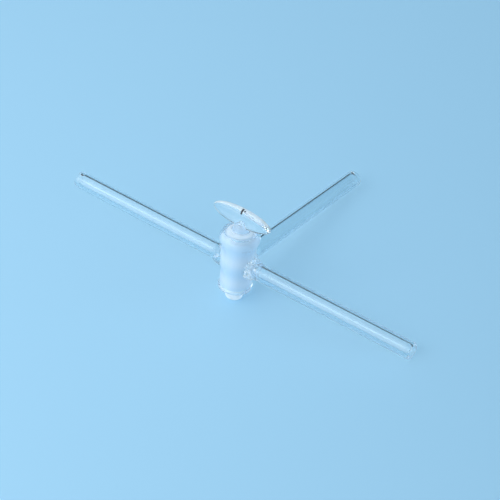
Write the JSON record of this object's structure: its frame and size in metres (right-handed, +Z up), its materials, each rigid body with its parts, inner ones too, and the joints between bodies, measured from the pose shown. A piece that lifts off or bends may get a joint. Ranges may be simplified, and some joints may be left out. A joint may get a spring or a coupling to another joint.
{
  "type": "glass stopcock",
  "caption": "Laboratory glass stopcock: a blown barrel with tubular side arms in a T, and a ground tapered plug with a T-shaped bore and an almond-shaped handle.",
  "frame": {"origin": "centre of the end face of the plug's tail, beside which the part rests on a table", "axes": "+Z up from the table, +X along the run of two arms as seen from above, +Y towards the branch arm"},
  "size_m": [0.1863, 0.1032, 0.0486],
  "materials": {
    "clear_glass": "clear, fire-polished",
    "ground_glass": "ground on the taper, pressed and fire-polished on the handle"
  },
  "bodies": {
    "barrel": {"barrel_with_arms": "clear_glass"},
    "plug": {"plug_with_handle": "ground_glass"}
  },
  "joints": [
    {"name": "plug_turn", "type": "hinge", "parent": "barrel", "child": "plug", "pos_m": [0.00333, 0.00344, 0.01921], "axis": [0.1684, 0.1736, 0.9703], "continuous": true}
  ]
}
